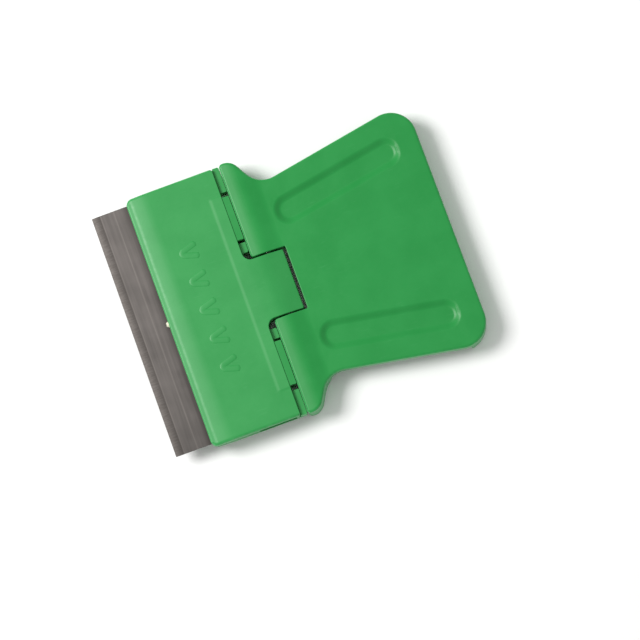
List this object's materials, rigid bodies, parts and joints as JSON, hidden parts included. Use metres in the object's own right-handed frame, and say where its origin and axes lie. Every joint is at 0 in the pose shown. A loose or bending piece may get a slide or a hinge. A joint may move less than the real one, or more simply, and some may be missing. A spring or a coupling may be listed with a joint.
{
  "type": "folding blade scraper",
  "caption": "Pocket scraper with a flat moulded handle, a hinged head that folds under it, and a single-edge blade that slides out sideways.",
  "frame": {"origin": "middle of the footprint, on the surface that the scraper lies on", "axes": "+X from the cutting edge towards the end of the handle, +Y along the cutting edge, +Z out of the top face"},
  "size_m": [0.051, 0.0406, 0.0049],
  "materials": {
    "green_handle_plastic": "satin, fine moulded grain",
    "green_head_plastic": "satin, fine moulded grain",
    "blade_steel": "ground, thin oil film",
    "spine_metal": "rolled, dulled",
    "pin_steel": "drawn wire, cut ends"
  },
  "bodies": {
    "handle": {"handle": "green_handle_plastic", "hinge_pin": "pin_steel"},
    "head": {"head_top_shell": "green_head_plastic", "head_bottom_shell": "green_head_plastic"},
    "blade": {"blade": "blade_steel", "blade_spine": "spine_metal"}
  },
  "joints": [
    {"name": "head_fold", "type": "hinge", "parent": "handle", "child": "head", "pos_m": [-0.002, 0, 0.0021], "axis": [0, -1, 0], "range_deg": [0, 180]},
    {"name": "blade_slide", "type": "slide", "parent": "head", "child": "blade", "axis": [0, -1, 0], "range_m": [0, 0.04]}
  ]
}
